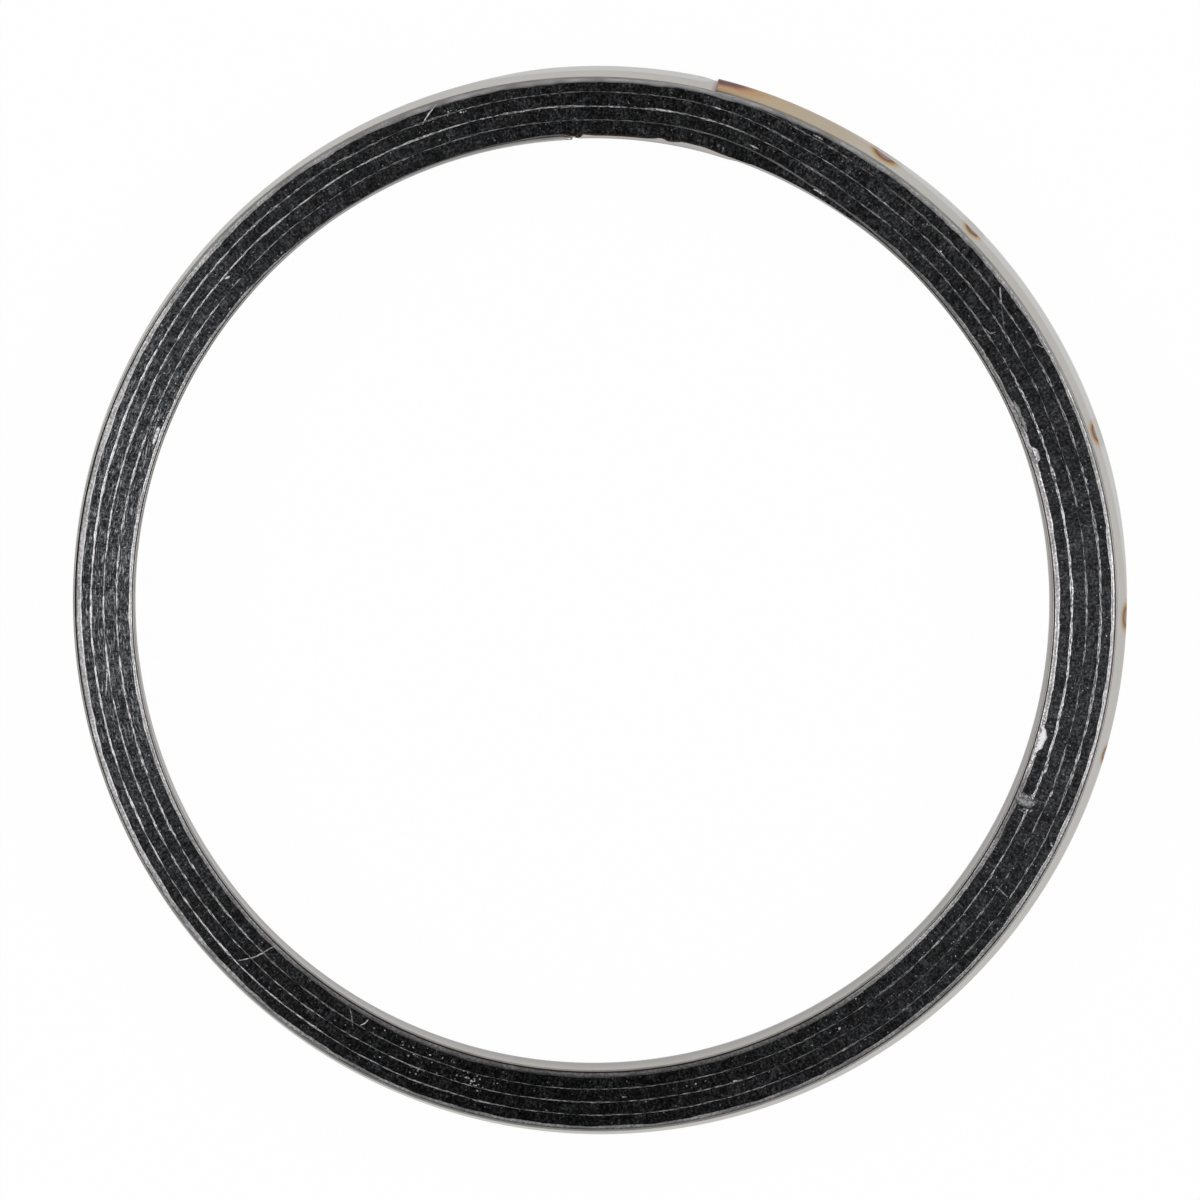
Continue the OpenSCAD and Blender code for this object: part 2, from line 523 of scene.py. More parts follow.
def strip_points(wound):
    world = wound + CLIMB_AT
    r = strip_radius(wound)
    low, high = face_edge(wound)
    middle = (low + high) / 2
    seen = high - low
    edge = on_turns(wound, RUBBED)
    width = np.maximum(seen, STRIP_T * edge)
    over = smooth((seen - BAND_FROM) / BAND_SPAN)
    top = RING_H - LINE_DROP * edge + BAND_RISE * edge * over - WALL_DROP * (1 - edge)
    top = top + wander(wound, TOP_WAVES)
    rim = rim_at(wound)
    filled = on_turns(wound, (1, OUTER_BAND_TURN)) * by_side(world, *OXIDE_SIDES)
    curl = smooth((STRIP_FROM + CURL_SPAN - wound) / CURL_SPAN)
    ending = smooth((wound - STRIP_TO + END_SPAN) / END_SPAN)
    outermost = np.maximum(wound > STRIP_TO - 360, smooth(STRIP_FROM + START_CLEAN - wound))
    innermost = (wound < STRIP_FROM + 360) * 1.0
    lean = blended(wound, lambda t, w: (t >= OUTER_BAND_TURN) * outer_lean(t, w))
    lean = lean + blended(wound, lambda t, w: (t <= INNER_BAND_TURN) * by_side(w, *INNER_LEAN)) * PX
    rows = {"girth": [], "edge": [], "shine": [], "bare": []}
    points = []

    def add(radius, z, *values):
        inward = CURL_IN * curl * (z / RING_H) ** 2
        turned = world - ending * (END_TURN + END_SLANT * np.clip(z / MID_H - 1, 0, 1))
        points.append(place(radius - inward, turned, z - CURL_DOWN * curl * (z / RING_H) ** 4))
        for row, value in zip(rows.values(), values):
            row.append(value + 0 * r)

    for z in SIDE_HEIGHTS:
        bulge = RIM_OUT * rim * stretch(z, *RIM_HEIGHTS)
        fill = OXIDE_FILL * filled * (z > RING_H - EDGE_LAND)
        leant = lean * smooth((z - LEAN_FROM) / LEAN_SPAN)
        add(r + STRIP_T + vee(z) + bulge + fill - leant, z + 0 * r, z, 0, 1, outermost)
    for share, drop in EDGE_PROFILE:
        girth = RING_H + EDGE_WAY - EDGE_WAY * share
        add(r + middle + share * width, top - drop, girth, edge, shine_at(wound, share), 1)
    for z in reversed(SIDE_HEIGHTS):
        leant = lean * smooth((z - LEAN_FROM) / LEAN_SPAN)
        add(r + vee(z) - leant, z + 0 * r, INNER_FOOT - z, 0, 1, innermost)
    add(r + FOOT_BEVEL, 0 * r, INNER_FOOT, 0, 1, 1)
    add(r + STRIP_T - FOOT_BEVEL, 0 * r, 0, 0, 1, 1)
    # The first turn is pale and matt along its lip, and round 122 degrees as a painted reflection
    worn = blended(wound, lambda t, w: (t == 1) * (lip_at(w) + hump(w, PAINTED_REFLECTION_AT, PAINTED_REFLECTION_HALF)))
    values = {key: np.stack(row, axis=1) for key, row in rows.items()}
    values["wound"] = wound[:, None]
    values["rim"] = rim[:, None]
    values["line"] = on_turns(wound, LINES)[:, None]
    values["worn"] = worn[:, None]
    values["even"] = hump(world, EVEN_AT, EVEN_HALF)[:, None]
    return np.stack(points, axis=1), values


strip = swept("steel_winding", [strip_points(np.linspace(STRIP_FROM, STRIP_TO, STRIP_SECTIONS))])

# Graphite tape: how many sections it has, heights of the points on its sides, and shares across its face
TAPE_SECTIONS = 4000
TAPE_HEIGHTS = (
    0.02,
    EDGE_LAND,
    MID_H - CREST_LAND / 2,
    MID_H + CREST_LAND / 2,
    RING_H - EDGE_LAND,
    RING_H - 0.15,
)
FACE_SHARES = (0.0, 0.05, 0.14, 0.28, 0.43, 0.57, 0.72, 0.86, 0.95, 1.0)
# How far its face lies below the ring's, how far its middle is crowned, and how rough it is
FACE_DROP = 0.025
CROWN = 0.02
ROUGH = 0.035
# Lightness of the graphite with painted light in it, lighter at the right and left and darker at the top and
# bottom, in the order of by_side, humps on it, and how strongly its grain shows
TONE_AND_PAINTED_LIGHT = (0.017, 0.032, 0.010, 0.046, 0.0048)
TONE_AND_PAINTED_LIGHT_HUMPS = ((58, 24, 0.005), (214, 30, -0.006))
GRIT = (2.4, 2.4, 3.6, 2.8, 4.2)
# The tape's start is smeared over the edge of the first turn, then raggedly.
# It ends in a tongue at the strip's start.
SMEAR = (348, 3, 371, 4)
SMEAR_RISE = 0.035
RAGGED = (370, 6, 388, 2)
RAGGED_REACH = 0.17
TONGUE_AT = 92.2
TONGUE_HALF = 0.9
TONGUE_REACH = 0.34
FIRST_LAYER_TO = 400
# How far the smear reaches past the first turn's edge, and the least width of the tape's face
SMEAR_PAST = 0.01
LEAST_FACE = 0.02
# Rust along the ragged stretch, on this share of the face's width
RUST_FROM = 366
RUST_SPAN = 3
RUST_TO = 389
RUST_SHARE = 0.1
# Distance across the face that stands for the tape's sides
SIDE_ACROSS = 2.0
# A wide edge lies this far over the tape, and a narrow one lies under the tape's lips
LAP = 0.04
LAP_FROM = 0.13
LAP_SPAN = 0.05


def overlap(low, high):
    return LAP * smooth((high - low - LAP_FROM) / LAP_SPAN)


def tape_points(wound):
    world = wound + CLIMB_AT
    inner = strip_radius(wound) + STRIP_T + TAPE_GAP
    outer = strip_radius(wound + 360) - TAPE_GAP
    low, high = face_edge(wound)
    next_low, next_high = face_edge(wound + 360)
    spread = stretch(wound, *SMEAR)
    ragged = stretch(wound, *RAGGED) * smooth(noise(wound * 0.9, 32) * 2.2 - 0.7)
    tongue = hump(world, TONGUE_AT, TONGUE_HALF)
    ragged = np.maximum(ragged * RAGGED_REACH, tongue * TONGUE_REACH * (wound < FIRST_LAYER_TO))
    smeared = np.maximum(spread, smooth(ragged * 6))
    start = strip_radius(wound) + high - overlap(low, high)
    start = start - np.maximum(spread * (high + SMEAR_PAST), ragged)
    end = strip_radius(wound + 360) + next_low + overlap(next_low, next_high)
    end = np.maximum(end, start + LEAST_FACE)
    rusted = smooth((wound - RUST_FROM) / RUST_SPAN) * (wound < RUST_TO) * noise(wound * 1.7, 33)
    rows = {"across": [], "rust": []}
    points = []

    def add(radius, z, *values):
        points.append(place(radius, world, z))
        for row, value in zip(rows.values(), values):
            row.append(value + 0 * inner)

    for z in TAPE_HEIGHTS:
        add(outer + vee(z), z + 0 * outer, SIDE_ACROSS, 0)
    for share in reversed(FACE_SHARES):
        radius = start + (end - start) * share
        across = radius - start
        crown = 1 - abs(2 * share - 1) ** 4
        rough = (noise2(wound * 2.7, across * 3 + 7, 31) - 0.5) * ROUGH
        z = RING_H - FACE_DROP + CROWN * crown + rough * (0.25 + 0.75 * crown) + SMEAR_RISE * smeared
        add(radius, z, across, rusted * (share < RUST_SHARE))
    for z in reversed(TAPE_HEIGHTS):
        add(inner + vee(z), z + 0 * inner, SIDE_ACROSS, 0)
    add((inner + outer) / 2, 0 * inner, SIDE_ACROSS, 0)
    values = {key: np.stack(row, axis=1) for key, row in rows.items()}
    values["wound"] = wound[:, None]
    # Painted light: the graphite is lighter at the right and left and darker at the top and bottom
    values["tone"] = with_humps(world, TONE_AND_PAINTED_LIGHT, TONE_AND_PAINTED_LIGHT_HUMPS)[:, None]
    values["grit"] = by_side(world, *GRIT)[:, None]
    return np.stack(points, axis=1), values


tape = swept("graphite_winding", [tape_points(np.linspace(TAPE_FROM, TAPE_TO, TAPE_SECTIONS))])

# Marks on the face: width in the photo's pixels, brightness, then points.
# A point is a direction in degrees and a distance from the photo's middle in pixels.
MARKS = (
    (1.0, 0.16, ((33.5, 484), (36.4, 497))),
    (1.9, 0.45, ((36.4, 497), (38.1, 507))),
    (1.6, 0.30, ((34.1, 477), (34.4, 472), (35.3, 469))),
    (2.2, 0.25, ((34.8, 463), (35.0, 460))),
    (1.3, 0.30, ((29.6, 511), (29.9, 507), (30.5, 505))),
    (2.2, 0.30, ((32.7, 494), (32.9, 494.5))),
    (2.4, 0.90, ((45.6, 486.5), (45.8, 486.5))),
    (1.9, 0.60, ((108.2, 521), (109.4, 514), (110.4, 507))),
    (2.2, 0.90, ((138.8, 491), (139.4, 493))),
    (2.2, 0.60, ((82.2, 492.5), (83.6, 492.8))),
    (2.2, 0.60, ((98.7, 493.3), (99.6, 493.3))),
    (1.8, 0.70, ((187.8, 498), (189.0, 500), (191.0, 504))),
    (1.6, 0.75, ((189.6, 505), (190.6, 507))),
    (1.6, 0.48, ((224.9, 513), (226.1, 497), (226.9, 474))),
    (1.2, 0.25, ((238.4, 480), (239.2, 487), (239.9, 495))),
    (1.6, 0.50, ((240.6, 491), (241.0, 486), (241.1, 481))),
    (2.0, 0.45, ((254.2, 498), (254.8, 498.5))),
    (2.0, 0.40, ((254.9, 500.5), (255.4, 500))),
    (1.4, 0.25, ((255.3, 503), (255.6, 504.5))),
    (1.6, 0.35, ((272.5, 499.5), (273.1, 500))),
    (1.2, 0.25, ((308.4, 498), (308.6, 504))),
    (1.4, 0.35, ((323.9, 506), (324.1, 489))),
    (5.0, 0.90, ((338.6, 461), (342.0, 462), (345.4, 460.5))),
    (9.0, 3.00, ((340.8, 462), (342.4, 463.5), (343.9, 462.5))),
    (11.0, 0.34, ((334.9, 461), (334.7, 471))),
    (12.0, 0.28, ((334.7, 467), (334.5, 480))),
    # A painted glint on a rubbed edge
    (2.2, 0.50, ((70.6, 476.5), (71.8, 477.8))),
    (2.2, 0.40, ((64.2, 510), (65.4, 510.6))),
    (1.8, 0.45, ((76.0, 504), (77.0, 504.8))),
    (2.5, 0.70, ((336.3, 491.5), (337.2, 491.5))),
    (2.8, 0.75, ((338.6, 477.5), (339.9, 477.5))),
    (2.0, 0.50, ((331.3, 517), (331.8, 512))),
    (2.5, 0.40, ((327.2, 505.5), (328.1, 505.5))),
    (3.0, 0.40, ((299.0, 493), (299.4, 492.5))),
    (1.6, 0.60, ((280.0, 495.5), (280.2, 495.5))),
    (2.4, 0.35, ((285.4, 501.5), (286.0, 502))),
    (6.0, 0.85, ((17.5, 458.5), (18.4, 459.5), (19.5, 458.5))),
    (5.0, 0.30, ((21.6, 458.5), (25.8, 458.5))),
    (5.0, 1.20, ((158.6, 473.5), (160.8, 473))),
    (1.2, 0.50, ((156.5, 478), (160.5, 476))),
    (1.2, 0.45, ((160.0, 479.5), (164.0, 475))),
    (1.2, 0.40, ((166.0, 472.5), (170.0, 471.5))),
    # A painted glint on the metal by the bore
    (2.5, 0.70, ((61.0, 461), (62.6, 462))),
)
# Loose flecks and a heap of crumbs: how many, direction and its spread, distance and its spread,
# width, brightness
SCATTERS = (
    (38, 249, 5.0, 495, 9, 1.8, 0.42),
    (45, 325, 28.0, 493, 10, 1.8, 0.42),
    (50, 334.6, 0.5, 471, 5, 3.6, 0.33),
    (14, 255.2, 0.9, 501, 4, 1.6, 0.55),
    (12, 108, 1.6, 509, 3, 1.5, 0.45),
    (26, 141, 11.0, 470, 1.2, 1.7, 0.40),
    (26, 157, 3.5, 478, 4, 1.6, 0.45),
)
# Section of a sliver: share of its half width, height over the face, share of its brightness
SLIVER_PROFILE = (
    (1, 0.01, 0.25),
    (0.3, 0.035, 1),
    (-0.4, 0.03, 0.9),
    (-1, 0.01, 0.25),
    (0, -0.04, 0.25),
)
SLIVER_STEP = 0.1
SLIVER_SEED = 60
SWAY = 0.05
SWAY_SEED = 50
# Middle of the photo on the ring's face
AIM = Vector((0.28, 0.38, RING_H))
dice = np.random.default_rng(5)


# A fleck near a place, with its length, width and brightness varied
def fleck(at, spread, radius, depth, width, shade):
    angle = dice.normal(at, spread)
    r = np.clip(dice.normal(radius, depth), radius - 2 * depth, radius + 2 * depth)
    tip = (angle + dice.uniform(-0.25, 0.25), r + dice.uniform(-1.5, 1.5))
    return width * dice.uniform(0.6, 1.4), shade * dice.uniform(0.4, 1.6), ((angle, r), tip)


def all_marks():
    made = list(MARKS)
    for count, *scatter in SCATTERS:
        made += [fleck(*scatter) for _ in range(count)]
    return made


# Place on the face in millimetres of a point of a mark
def on_face(direction, distance):
    a = math.radians(direction)
    return AIM.x + distance * PX * math.cos(a), AIM.y + distance * PX * math.sin(a)


# A thin ragged sliver that lies on the face
def sliver(seed, width, shade, route):
    corners = np.array([on_face(*point) for point in route])
    along = np.concatenate(([0], np.cumsum(np.hypot(*np.diff(corners, axis=0).T))))
    count = max(5, int(along[-1] / SLIVER_STEP))
    share = np.linspace(0, 1, count)
    x = np.interp(share * along[-1], along, corners[:, 0])
    y = np.interp(share * along[-1], along, corners[:, 1])
    heading = np.arctan2(np.gradient(y), np.gradient(x))
    ragged = 0.65 + 0.7 * noise(share * count * 0.5, seed)
    half = width * PX / 2 * ragged * np.sqrt(np.clip(1.05 - (2 * share - 1) ** 2, 0, 1))
    sway = (noise(share * count * 0.35, seed + SWAY_SEED) - 0.5) * SWAY
    sides, heights, shades = zip(*SLIVER_PROFILE)
    points = []
    for side, z in zip(sides, heights):
        off = sway + side * half
        corner = (x - off * np.sin(heading), y + off * np.cos(heading), RING_H + z + 0 * x)
        points.append(np.stack(corner, axis=-1) * MM)
    return np.stack(points, axis=1), {"shade": shade * np.array([shades])}


marks = swept("face_marks", [sliver(SLIVER_SEED + i, *mark) for i, mark in enumerate(all_marks())])


# A material built from nodes
class Shader:
    def __init__(self, name):
        self.material = bpy.data.materials.new(name)
        self.material.use_nodes = True
        self.tree = self.material.node_tree
        self.tree.nodes.clear()
        self.out = self.add("ShaderNodeOutputMaterial")

    def add(self, kind, **settings):
        node = self.tree.nodes.new(kind)
        for key, value in settings.items():
            setattr(node, key, value)
        return node

    def put(self, value, socket):
        if isinstance(value, bpy.types.NodeSocket):
            self.tree.links.new(value, socket)
        else:
            socket.default_value = value

    def math(self, operation, a, b=0.0, c=0.0, clamp=False):
        node = self.add("ShaderNodeMath", operation=operation, use_clamp=clamp)
        self.put(a, node.inputs[0])
        self.put(b, node.inputs[1])
        self.put(c, node.inputs[2])
        return node.outputs[0]

    def plus(self, a, b, clamp=False):
        return self.math("ADD", a, b, clamp=clamp)

    def minus(self, a, b, clamp=False):
        return self.math("SUBTRACT", a, b, clamp=clamp)

    def times(self, a, b, clamp=False):
        return self.math("MULTIPLY", a, b, clamp=clamp)

    # Length of the diagonal of a and b
    def across(self, a, b):
        return self.math("SQRT", self.plus(self.times(a, a), self.times(b, b)))

    # A smooth passage from start to end as the value goes from low to high
    def between(self, value, low, high, start=0.0, end=1.0):
        node = self.add("ShaderNodeMapRange", interpolation_type="SMOOTHSTEP")
        self.put(value, node.inputs["Value"])
        self.put(low, node.inputs["From Min"])
        self.put(high, node.inputs["From Max"])
        self.put(start, node.inputs["To Min"])
        self.put(end, node.inputs["To Max"])
        return node.outputs["Result"]

    def value(self, name):
        return self.add("ShaderNodeAttribute", attribute_name=name).outputs["Fac"]

    def vector(self, x, y, z=0.0):
        node = self.add("ShaderNodeCombineXYZ")
        self.put(x, node.inputs[0])
        self.put(y, node.inputs[1])
        self.put(z, node.inputs[2])
        return node.outputs[0]

    def noise(self, vector, scale, detail=2.0, roughness=0.5):
        node = self.add("ShaderNodeTexNoise")
        self.put(vector, node.inputs["Vector"])
        self.put(scale, node.inputs["Scale"])
        self.put(detail, node.inputs["Detail"])
        self.put(roughness, node.inputs["Roughness"])
        return node.outputs["Fac"]

    # A mix of two colours. The node's colours are its inputs 6 and 7 and its output 2.
    def mix(self, share, a, b):
        node = self.add("ShaderNodeMix", data_type="RGBA")
        self.put(share, node.inputs[0])
        self.put(a, node.inputs[6])
        self.put(b, node.inputs[7])
        return node.outputs[2]

    def ramp(self, value, stops):
        node = self.add("ShaderNodeValToRGB")
        while len(node.color_ramp.elements) < len(stops):
            node.color_ramp.elements.new(0.5)
        for element, (at, colour) in zip(node.color_ramp.elements, stops):
            element.position = at
            element.color = colour
        self.put(value, node.inputs[0])
        return node.outputs["Color"]

    def bump(self, height, strength, distance):
        node = self.add("ShaderNodeBump")
        self.put(strength, node.inputs["Strength"])
        self.put(distance, node.inputs["Distance"])
        self.put(height, node.inputs["Height"])
        return node.outputs["Normal"]

    def finish(self, shader):
        self.tree.links.new(shader, self.out.inputs["Surface"])
        return self.material


def rgb(r, g, b):
    return (r, g, b, 1.0)


# Millimetres along the strip and the tape to one degree
STRIP_ARC = 0.66
TAPE_ARC = 0.65

# The end's tint on the outer wall: its middle height, and how far it reaches in degrees and in height
END_TINT_H = 3.1
END_TINT_BACK = 12.5
END_TINT_UP = 3.5
# It is purple at the strip's outer corner, then brown, orange and straw, and brown again beside the face
END_COLOURS = (
    (0.0, rgb(0.10, 0.07, 0.09)),
    (0.18, rgb(0.09, 0.05, 0.08)),
    (0.26, rgb(0.24, 0.08, 0.04)),
    (0.38, rgb(0.47, 0.29, 0.15)),
    (0.6, rgb(0.49, 0.39, 0.26)),
    (1.0, rgb(0.48, 0.42, 0.33)),
)
END_BROWN = rgb(0.20, 0.15, 0.11)

# The welds' tints: their middle height, how much higher it is beside the rim, their reach in height,
# their millimetres to one degree, and their sizes
WELD_TINT_H = 3.0
WELD_TINT_RIM = 0.7
WELD_TINT_UP = 1.3
WELD_ARC = 0.6
WELD_SIZES = (1.25, 0.85, 0.95, 1.05, 0.75)
WELD_COLOURS = (
    (0.0, rgb(0.33, 0.30, 0.27)),
    (0.42, rgb(0.26, 0.19, 0.18)),
    (0.58, rgb(0.16, 0.045, 0.025)),
    (0.68, rgb(0.34, 0.16, 0.06)),
    (0.82, rgb(0.45, 0.33, 0.16)),
    (1.0, rgb(0.47, 0.42, 0.32)),
)

# Upper edge of the rim's painted highlight, and how much higher it is where the rim shows fully
RIM_EDGE_H = 3.3
RIM_EDGE_RISE = 0.6


# Brushed steel of the outer and inner walls. The inner one is darker towards its foot, painted shade low in
# the bore.
def wall_colour(s, girth, outside, brushed, cloud):
    outer = s.mix(brushed, rgb(0.44, 0.425, 0.395), rgb(0.50, 0.485, 0.455))
    outer = s.mix(s.between(cloud, 0.35, 0.7, 0.0, 0.35), outer, rgb(0.43, 0.405, 0.37))
    inner = s.mix(brushed, rgb(0.41, 0.40, 0.38), rgb(0.46, 0.45, 0.43))
    # Painted shade: the inner wall darkens towards its foot, low in the bore
    inner = s.mix(s.between(girth, 9.6, 11.3, 0.0, 0.55), inner, rgb(0.22, 0.21, 0.20))
    return s.mix(outside, inner, outer)


# Tint of the strip's end, and its share
def end_tint(s, wound, girth, cloud):
    back = s.math("DIVIDE", s.minus(STRIP_TO, wound), END_TINT_BACK)
    up = s.math("DIVIDE", s.minus(girth, END_TINT_H), END_TINT_UP)
    far = s.across(back, s.math("MAXIMUM", up, 0.0))
    far = s.plus(far, s.times(s.minus(cloud, 0.5), 0.25))
    beside = s.times(s.between(girth, 4.6, RING_H - 0.1), s.between(back, 0.0, 0.5, 0.6, 0.0))
    tint = s.mix(beside, s.ramp(far, END_COLOURS), END_BROWN)
    return tint, s.between(far, 1.1, 1.9, 1.0, 0.0)


# Tint of the welds before the end, by distance from the nearest one, and its share
def weld_tint(s, wound, girth, rim, grain):
    centre = s.math("MULTIPLY_ADD", rim, WELD_TINT_RIM, WELD_TINT_H)
    up = s.math("DIVIDE", s.minus(girth, centre), WELD_TINT_UP)
    far = None
    for back, size in zip(OUTER_WELDS[1:], WELD_SIZES):
        along = s.times(s.minus(wound, STRIP_TO - back), WELD_ARC)
        gap = s.math("DIVIDE", s.across(along, up), size)
        far = gap if far is None else s.math("MINIMUM", far, gap)
    far = s.plus(far, s.times(s.minus(grain, 0.5), 0.3))
    return s.ramp(far, WELD_COLOURS), s.between(far, 0.8, 1.3, 1.0, 0.0)


# Share of the painted highlight on the rim, along its crest
def rim_painted_highlight(s, girth, rim):
    upper_edge = s.math("MULTIPLY_ADD", rim, RIM_EDGE_RISE, RIM_EDGE_H)
    crest = s.times(s.between(s.minus(girth, upper_edge), 0.1, -0.1), s.between(girth, 1.2, 2.3))
    return s.times(crest, s.between(rim, 0.0, 0.6))


# Rubbed edges on the face: beads of bare steel with graphite between them, scaled by the shine, a painted
# highlight that changes round the ring
def rubbed_colour(s, arc, girth):
    line = s.value("line")
    finer = s.times(arc, s.minus(1.8, s.times(line, 0.8)))
    beads = s.noise(s.vector(finer, s.times(girth, 5.0)), 2.4, 3.0, 0.65)
    runs = s.noise(s.vector(arc, girth), 0.35, 2.0)
    even = s.times(s.minus(s.value("even"), line, clamp=True), 0.3)
    dullest = s.plus(s.minus(0.5, s.times(line, 0.32)), even)
    brightest = s.minus(s.plus(1.15, s.times(line, 0.95)), even)
    level = s.between(beads, 0.42, 0.64, dullest, brightest)
    level = s.times(level, s.between(runs, 0.35, 0.65, 0.7, 1.25))
    # Painted highlight: the shine makes the rubbed edges brighter on some sides of the ring than on others
    level = s.times(level, s.value("shine"), clamp=True)
    return s.mix(level, rgb(0.02, 0.02, 0.021), rgb(0.78, 0.765, 0.775))


# Satin steel, bright on its rubbed edges, where painted highlights change round the ring, and tinted by heat
# at the welds and the end. It also has a painted highlight on the rim's crest, painted shade low in the bore
# and a painted reflection on the first turn.
def steel_material():
    s = Shader("satin_steel")
    wound = s.value("wound")
    girth = s.value("girth")
    edge = s.value("edge")
    rim = s.value("rim")
    worn = s.value("worn")
    arc = s.times(wound, STRIP_ARC)
    brushed = s.noise(s.vector(s.times(arc, 0.25), s.times(girth, 14.0)), 1.0, 4.0, 0.6)
    cloud = s.noise(s.vector(s.times(arc, 0.5), girth), 0.8, 3.0)
    grain = s.noise(s.vector(arc, s.times(girth, 3.0)), 3.0, 5.0, 0.65)
    outside = s.math("LESS_THAN", girth, RING_H)
    wall = wall_colour(s, girth, outside, brushed, cloud)
    tint, end = end_tint(s, wound, girth, cloud)
    end = s.times(end, outside)
    wall = s.mix(end, wall, tint)
    burn, weld = weld_tint(s, wound, girth, rim, grain)
    weld = s.times(weld, outside)
    wall = s.mix(weld, wall, burn)
    stain = s.math("MAXIMUM", weld, end)
    # Painted highlight: a pale band along the rim's crest
    wall = s.mix(s.times(rim_painted_highlight(s, girth, rim), outside), wall, rgb(0.56, 0.56, 0.55))
    # Brown oxide in the gaps between the turns
    wall = s.mix(s.value("bare"), rgb(0.26, 0.15, 0.16), wall)
    # Pale matt steel on the first turn: along its lip, and as a painted reflection round 122 degrees
    wall = s.mix(worn, wall, rgb(0.50, 0.49, 0.475))
    shader = s.add("ShaderNodeBsdfPrincipled")
    s.put(s.mix(edge, wall, rubbed_colour(s, arc, girth)), shader.inputs["Base Color"])
    s.put(s.math("MULTIPLY_ADD", worn, -0.85, 1.0), shader.inputs["Metallic"])
    s.put(s.mix(stain, rgb(1.0, 1.0, 1.0), rgb(0.82, 0.77, 0.72)), shader.inputs["Specular Tint"])
    satin = s.between(brushed, 0.2, 0.8, 0.3, 0.42)
    s.put(s.plus(satin, s.times(edge, 0.15)), shader.inputs["Roughness"])
    height = s.plus(s.times(grain, edge), s.times(brushed, 0.25))
    s.put(s.bump(height, 0.35, 0.00003), shader.inputs["Normal"])
    return s.finish(shader.outputs[0])


# Pressed graphite: dark and grainy, with radial cracks and streaks along the tape. Its lightness holds
# painted sheen and shade, lighter at the right and left and darker at the top and bottom, and the streaks
# show as painted highlights where it is lighter.
def graphite_material():
    s = Shader("pressed_graphite")
    wound = s.value("wound")
    across = s.value("across")
    tone = s.value("tone")
    arc = s.times(wound, TAPE_ARC)
    grain = s.noise(s.vector(arc, across, s.times(wound, 0.003)), 5.0, 3.0, 0.75)
    cracks = s.noise(s.vector(s.times(arc, 6.0), s.times(across, 1.3)), 1.0, 3.0, 0.65)
    blotch = s.noise(s.vector(arc, across), 0.9, 3.0)
    specks = s.noise(s.vector(arc, across, 5.0), 4.2, 1.0, 0.5)
    waved = s.plus(across, s.times(blotch, 0.5))
    streaks = s.noise(s.vector(s.times(arc, 1.1), s.times(waved, 9.0)), 1.0, 3.0, 0.65)
    rough = s.between(grain, 0.36, 0.64, -0.9, 0.9)
    rough = s.plus(rough, s.between(cracks, 0.36, 0.66, -0.4, 0.5))
    rough = s.plus(rough, s.between(blotch, 0.35, 0.65, -0.3, 0.3))
    # The graphite's lightness, with painted sheen at the sides and painted shade at the top and bottom
    level = s.times(tone, s.math("POWER", s.value("grit"), rough))
    # Painted highlights: the streaks show bright only where the graphite is painted lighter
    scratch_highlight = s.times(s.between(streaks, 0.54, 0.66), s.between(tone, 0.026, 0.05))
    level = s.plus(level, s.times(scratch_highlight, 0.4))
    bright = s.times(s.between(specks, 0.68, 0.78), s.plus(tone, 0.01))
    level = s.plus(level, s.times(bright, 7.0), clamp=True)
    colour = s.mix(level, rgb(0.0, 0.0, 0.0), rgb(0.93, 0.95, 1.0))
    colour = s.mix(s.value("rust"), colour, rgb(0.075, 0.035, 0.028))
    shader = s.add("ShaderNodeBsdfPrincipled")
    s.put(colour, shader.inputs["Base Color"])
    s.put(s.between(grain, 0.3, 0.7, 0.5, 0.68), shader.inputs["Roughness"])
    shader.inputs["Specular IOR Level"].default_value = 0.02
    height = s.plus(grain, s.times(cracks, 0.8))
    s.put(s.bump(height, 0.5, 0.00004), shader.inputs["Normal"])
    return s.finish(shader.outputs[0])


# Scratched-up slivers of steel and graphite, and two painted glints
def sliver_material():
    s = Shader("scratched_slivers")
    place_at = s.add("ShaderNodeTexCoord").outputs["Object"]
    spots = s.noise(place_at, 6000.0, 3.0, 0.6)
    level = s.times(s.value("shade"), s.between(spots, 0.35, 0.65, 0.25, 1.45), clamp=True)
    colour = s.mix(level, rgb(0.01, 0.01, 0.01), rgb(0.9, 0.88, 0.9))
    shader = s.add("ShaderNodeBsdfPrincipled")
    s.put(colour, shader.inputs["Base Color"])
    s.put(s.between(spots, 0.3, 0.7, 0.45, 0.65), shader.inputs["Roughness"])
    return s.finish(shader.outputs[0])


strip.data.materials.append(steel_material())
tape.data.materials.append(graphite_material())
marks.data.materials.append(sliver_material())
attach(marks, "root")
for piece, node, slot in ((strip, "steel_strip", "steel"), (tape, "graphite_tape", "graphite")):
    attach(piece, "root")
    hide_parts(node)

# Half the floor's side in metres, and how much of what the camera sees of it is plain white
FLOOR_HALF = 3.0
FLOOR_WHITE = 0.97


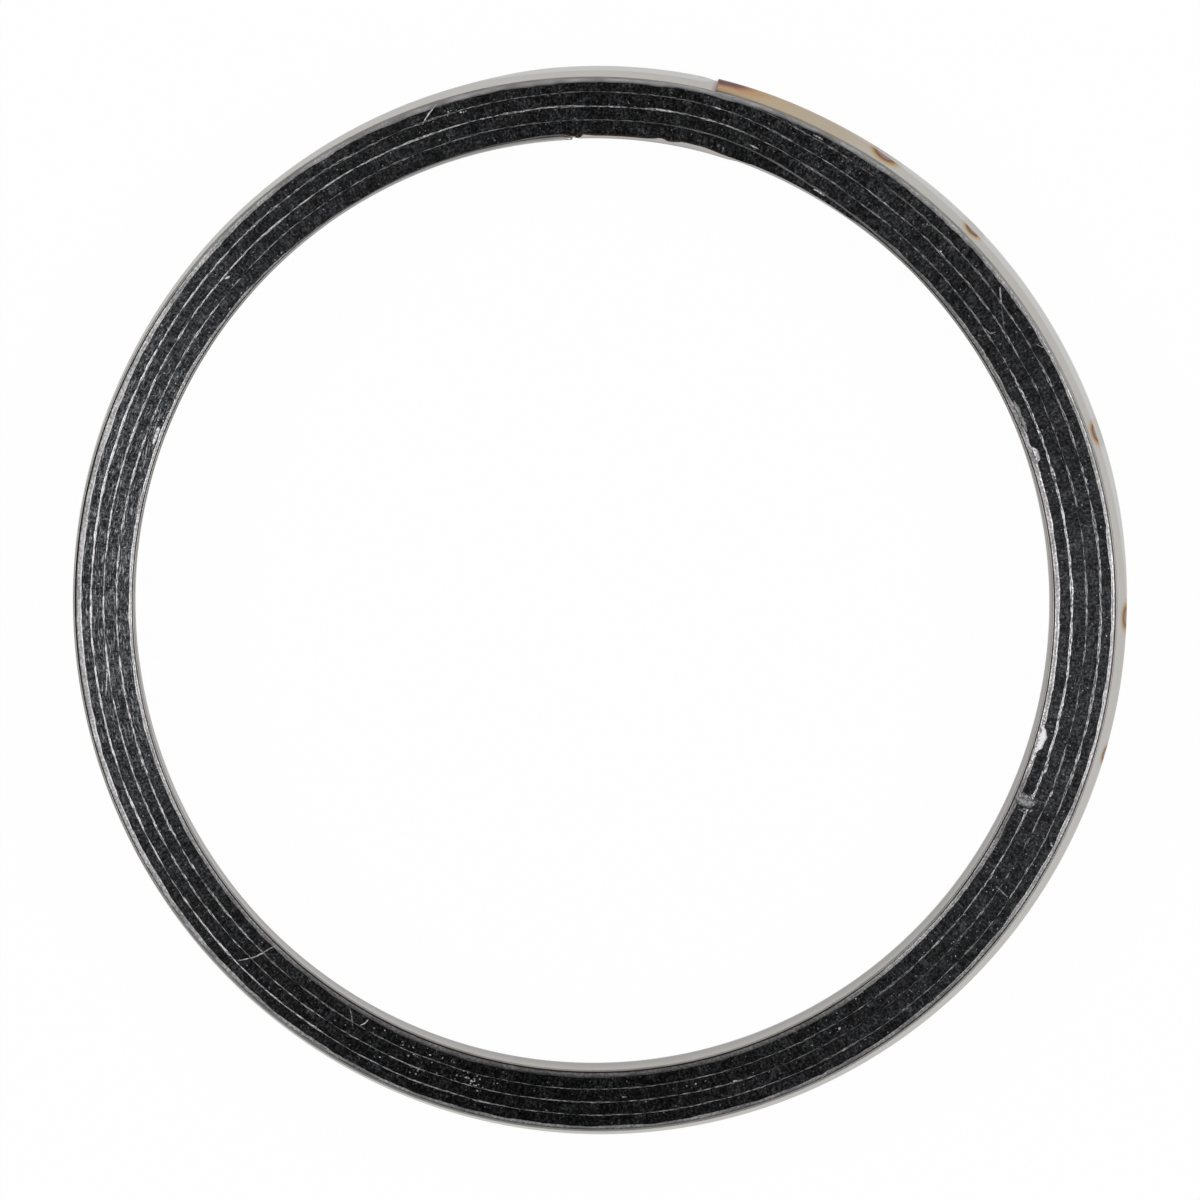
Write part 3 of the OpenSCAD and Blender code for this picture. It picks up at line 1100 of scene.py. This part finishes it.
# White floor that keeps a faint shadow
def floor_piece():
    half = FLOOR_HALF
    corners = [(-half, -half, 0), (half, -half, 0), (half, half, 0), (-half, half, 0)]
    mesh = bpy.data.meshes.new("floor")
    mesh.from_pydata(corners, [], [(0, 1, 2, 3)])
    floor = bpy.data.objects.new("floor", mesh)
    bpy.context.scene.collection.objects.link(floor)
    s = Shader("floor_white")
    path = s.add("ShaderNodeLightPath")
    seen = s.plus(path.outputs["Is Camera Ray"], path.outputs["Is Glossy Ray"], clamp=True)
    seen = s.plus(seen, path.outputs["Is Transmission Ray"], clamp=True)
    diffuse = s.add("ShaderNodeBsdfDiffuse")
    diffuse.inputs["Color"].default_value = rgb(0.95, 0.95, 0.95)
    glow = s.add("ShaderNodeEmission")
    glow.inputs["Color"].default_value = rgb(1.0, 1.0, 1.0)
    glow.inputs["Strength"].default_value = 1.0
    blend = s.add("ShaderNodeMixShader")
    s.put(s.times(seen, FLOOR_WHITE), blend.inputs[0])
    s.put(diffuse.outputs[0], blend.inputs[1])
    s.put(glow.outputs[0], blend.inputs[2])
    mesh.materials.append(s.finish(blend.outputs[0]))


floor_piece()

# Soft studio light: a large lamp on each side and a dim surround, in metres and watts
LAMP_AT = (0.5, 0.05, 0.45)
LAMP_SIZE = (0.5, 0.35)
LAMP_POWER = 2.1
SURROUND_STRENGTH = 0.35


def lamp(name, side):
    data = bpy.data.lights.new(name, "AREA")
    data.shape = "RECTANGLE"
    data.size, data.size_y = LAMP_SIZE
    data.energy = LAMP_POWER
    made = bpy.data.objects.new(name, data)
    made.location = (side * LAMP_AT[0], LAMP_AT[1], LAMP_AT[2])
    made.rotation_euler = (-made.location).to_track_quat("-Z", "Y").to_euler()
    bpy.context.scene.collection.objects.link(made)


lamp("lamp_left", -1)
lamp("lamp_right", 1)

surround = bpy.data.worlds.new("surround")
surround.use_nodes = True
background = surround.node_tree.nodes["Background"]
background.inputs["Color"].default_value = rgb(1.0, 1.0, 1.0)
background.inputs["Strength"].default_value = SURROUND_STRENGTH
bpy.context.scene.world = surround

# Camera almost above the ring, as in the photo: distance in millimetres, tilts, image width and sensor width
FACE = Vector((0, 0, RING_H))
DISTANCE = 470.0
TILT_X = math.radians(0.46)
TILT_Y = math.radians(2.68)
IMAGE = 1200
SENSOR = 36.0
camera_data = bpy.data.cameras.new("camera")
camera_data.sensor_width = SENSOR
camera_data.lens = DISTANCE / PX / IMAGE * SENSOR
camera_data.clip_start = 0.01
camera = bpy.data.objects.new("camera", camera_data)
toward = Vector((math.sin(TILT_X), math.sin(TILT_Y), 0))
toward.z = math.sqrt(1 - toward.length_squared)
camera.location = (FACE + DISTANCE * toward) * MM
backward = (camera.location - AIM * MM).normalized()
right = Vector((0, 1, 0)).cross(backward).normalized()
axes = Matrix((right, backward.cross(right), backward)).transposed()
camera.rotation_euler = axes.to_euler()
bpy.context.scene.collection.objects.link(camera)
bpy.context.scene.camera = camera
bpy.context.scene.view_settings.view_transform = "Standard"
